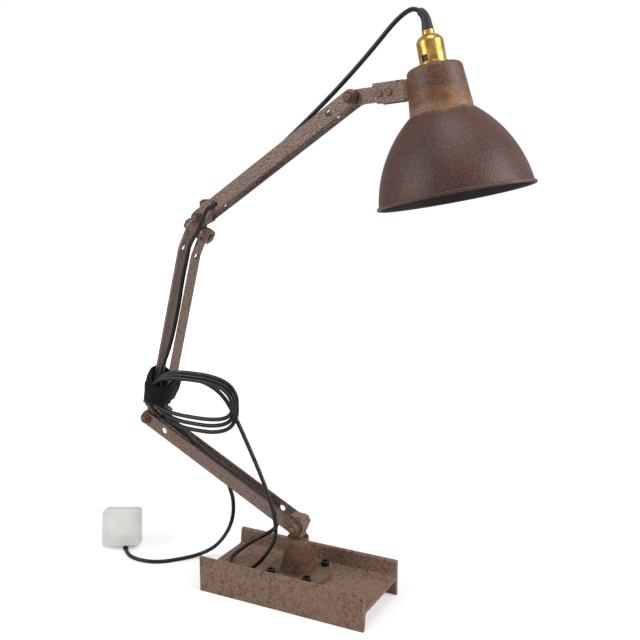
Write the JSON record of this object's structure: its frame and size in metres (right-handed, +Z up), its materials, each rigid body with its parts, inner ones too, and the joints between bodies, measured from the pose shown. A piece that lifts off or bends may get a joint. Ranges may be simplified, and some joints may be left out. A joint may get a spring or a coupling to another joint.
{
  "type": "table lamp",
  "caption": "Architect lamp on a joist base: paired flat-bar arms with double knuckles, tilting spun shade on a brass bayonet holder, cord with a strapped coil and a plug.",
  "frame": {"origin": "point on the floor below the base, on the axis of the base swivel", "axes": "+X along the joist to the right as seen from the front, -Y to the front, +Z up"},
  "size_m": [0.5783, 0.1652, 0.6785],
  "materials": {
    "joist": "rusty, oiled",
    "pedestal": "rusty, worn grey flange",
    "fastener": "rust-brown",
    "black_screw": "black oxide",
    "arm": "dark brown hammered, worn",
    "knuckle": "rusty cast",
    "shade": "rusty brown hammered",
    "brass": "aged",
    "insulator": "moulded",
    "contact": "plain",
    "cord": "black, slight sheen",
    "strap": "black hook-and-loop",
    "plug": "white",
    "pin": "bright",
    "washer": "fibre"
  },
  "bodies": {
    "base": {"base_joist": "joist", "pedestal": "pedestal", "flange_screws": "black_screw", "plug_base": "plug", "plug_cover": "plug", "plug_pins": "pin", "plug_grommet": "cord", "cord_base_loop": "cord", "cord_tail": "cord"},
    "swivel": {"swivel_post": "pedestal", "swivel_nut": "fastener", "swivel_washer": "washer"},
    "lower_arm": {"lower_arm_front_bar": "arm", "lower_arm_back_bar": "arm", "lower_arm_bolts": "fastener", "lower_arm_nuts": "fastener", "lower_arm_washers": "washer", "cord_channel_back": "cord", "cord_channel_front": "cord"},
    "lower_joint": {"lower_knuckle": "knuckle"},
    "middle_arm": {"middle_arm_left_bar": "arm", "middle_arm_right_bar": "arm", "middle_arm_bolts": "fastener", "middle_arm_nuts": "fastener", "middle_arm_washers": "washer", "cord_strap": "strap", "cord_coil": "cord", "cord_middle_arm": "cord", "cord_upper_elbow": "cord", "cord_lower_elbow_back": "cord", "cord_lower_elbow_front": "cord", "cord_rise": "cord"},
    "upper_joint": {"upper_knuckle": "knuckle"},
    "upper_arm": {"upper_arm_front_bar": "arm", "upper_arm_back_bar": "arm", "upper_arm_bolts": "fastener", "upper_arm_nuts": "fastener", "upper_arm_washers": "washer", "cord_upper_arm": "cord", "cord_head": "cord"},
    "head": {"head_tongue": "knuckle", "shade_bracket": "knuckle", "bracket_rivets": "fastener", "shade_saddle": "knuckle", "saddle_rivets": "fastener", "shade_neck": "shade", "shade": "shade", "shade_ring": "brass", "holder_shoulder_ring": "brass", "holder_barrel": "brass", "holder_block": "insulator", "holder_contacts": "contact", "holder_cap": "brass", "holder_nipple": "brass", "strain_relief": "cord"}
  },
  "joints": [
    {"name": "base_swivel", "type": "hinge", "parent": "base", "child": "swivel", "pos_m": [0, 0, 0.07], "axis": [0, 0, 1], "range_deg": [-170, 170], "deforming": ["cord_base_loop", "cord_tail", "cord_rise"]},
    {"name": "base_pivot", "type": "hinge", "parent": "swivel", "child": "lower_arm", "pos_m": [0, 0, 0.0875], "axis": [0, 1, 0], "range_deg": [-20, 45], "deforming": ["cord_base_loop", "cord_tail", "cord_rise"]},
    {"name": "lower_elbow", "type": "hinge", "parent": "lower_arm", "child": "lower_joint", "pos_m": [-0.21422, 0, 0.19571], "axis": [0, 1, 0], "range_deg": [-60, 10], "deforming": ["cord_lower_elbow_back", "cord_lower_elbow_front", "cord_rise"]},
    {"name": "lower_swivel", "type": "hinge", "parent": "lower_joint", "child": "middle_arm", "pos_m": [-0.20677, 0, 0.21099], "axis": [0.8988, 0, -0.4384], "range_deg": [-40, 40], "deforming": ["cord_lower_elbow_back", "cord_lower_elbow_front", "cord_rise"]},
    {"name": "upper_swivel", "type": "hinge", "parent": "middle_arm", "child": "upper_joint", "pos_m": [-0.1354, 0, 0.43918], "axis": [0.8988, 0, -0.4384], "range_deg": [-60, 60], "deforming": ["cord_upper_elbow"]},
    {"name": "upper_elbow", "type": "hinge", "parent": "upper_joint", "child": "upper_arm", "pos_m": [-0.12795, 0, 0.45446], "axis": [0, 1, 0], "range_deg": [-50, 45], "deforming": ["cord_upper_elbow"]},
    {"name": "head_tilt", "type": "hinge", "parent": "upper_arm", "child": "head", "pos_m": [0.07102, 0, 0.58867], "axis": [0, 1, 0], "range_deg": [-60, 45], "deforming": ["cord_head"]}
  ]
}
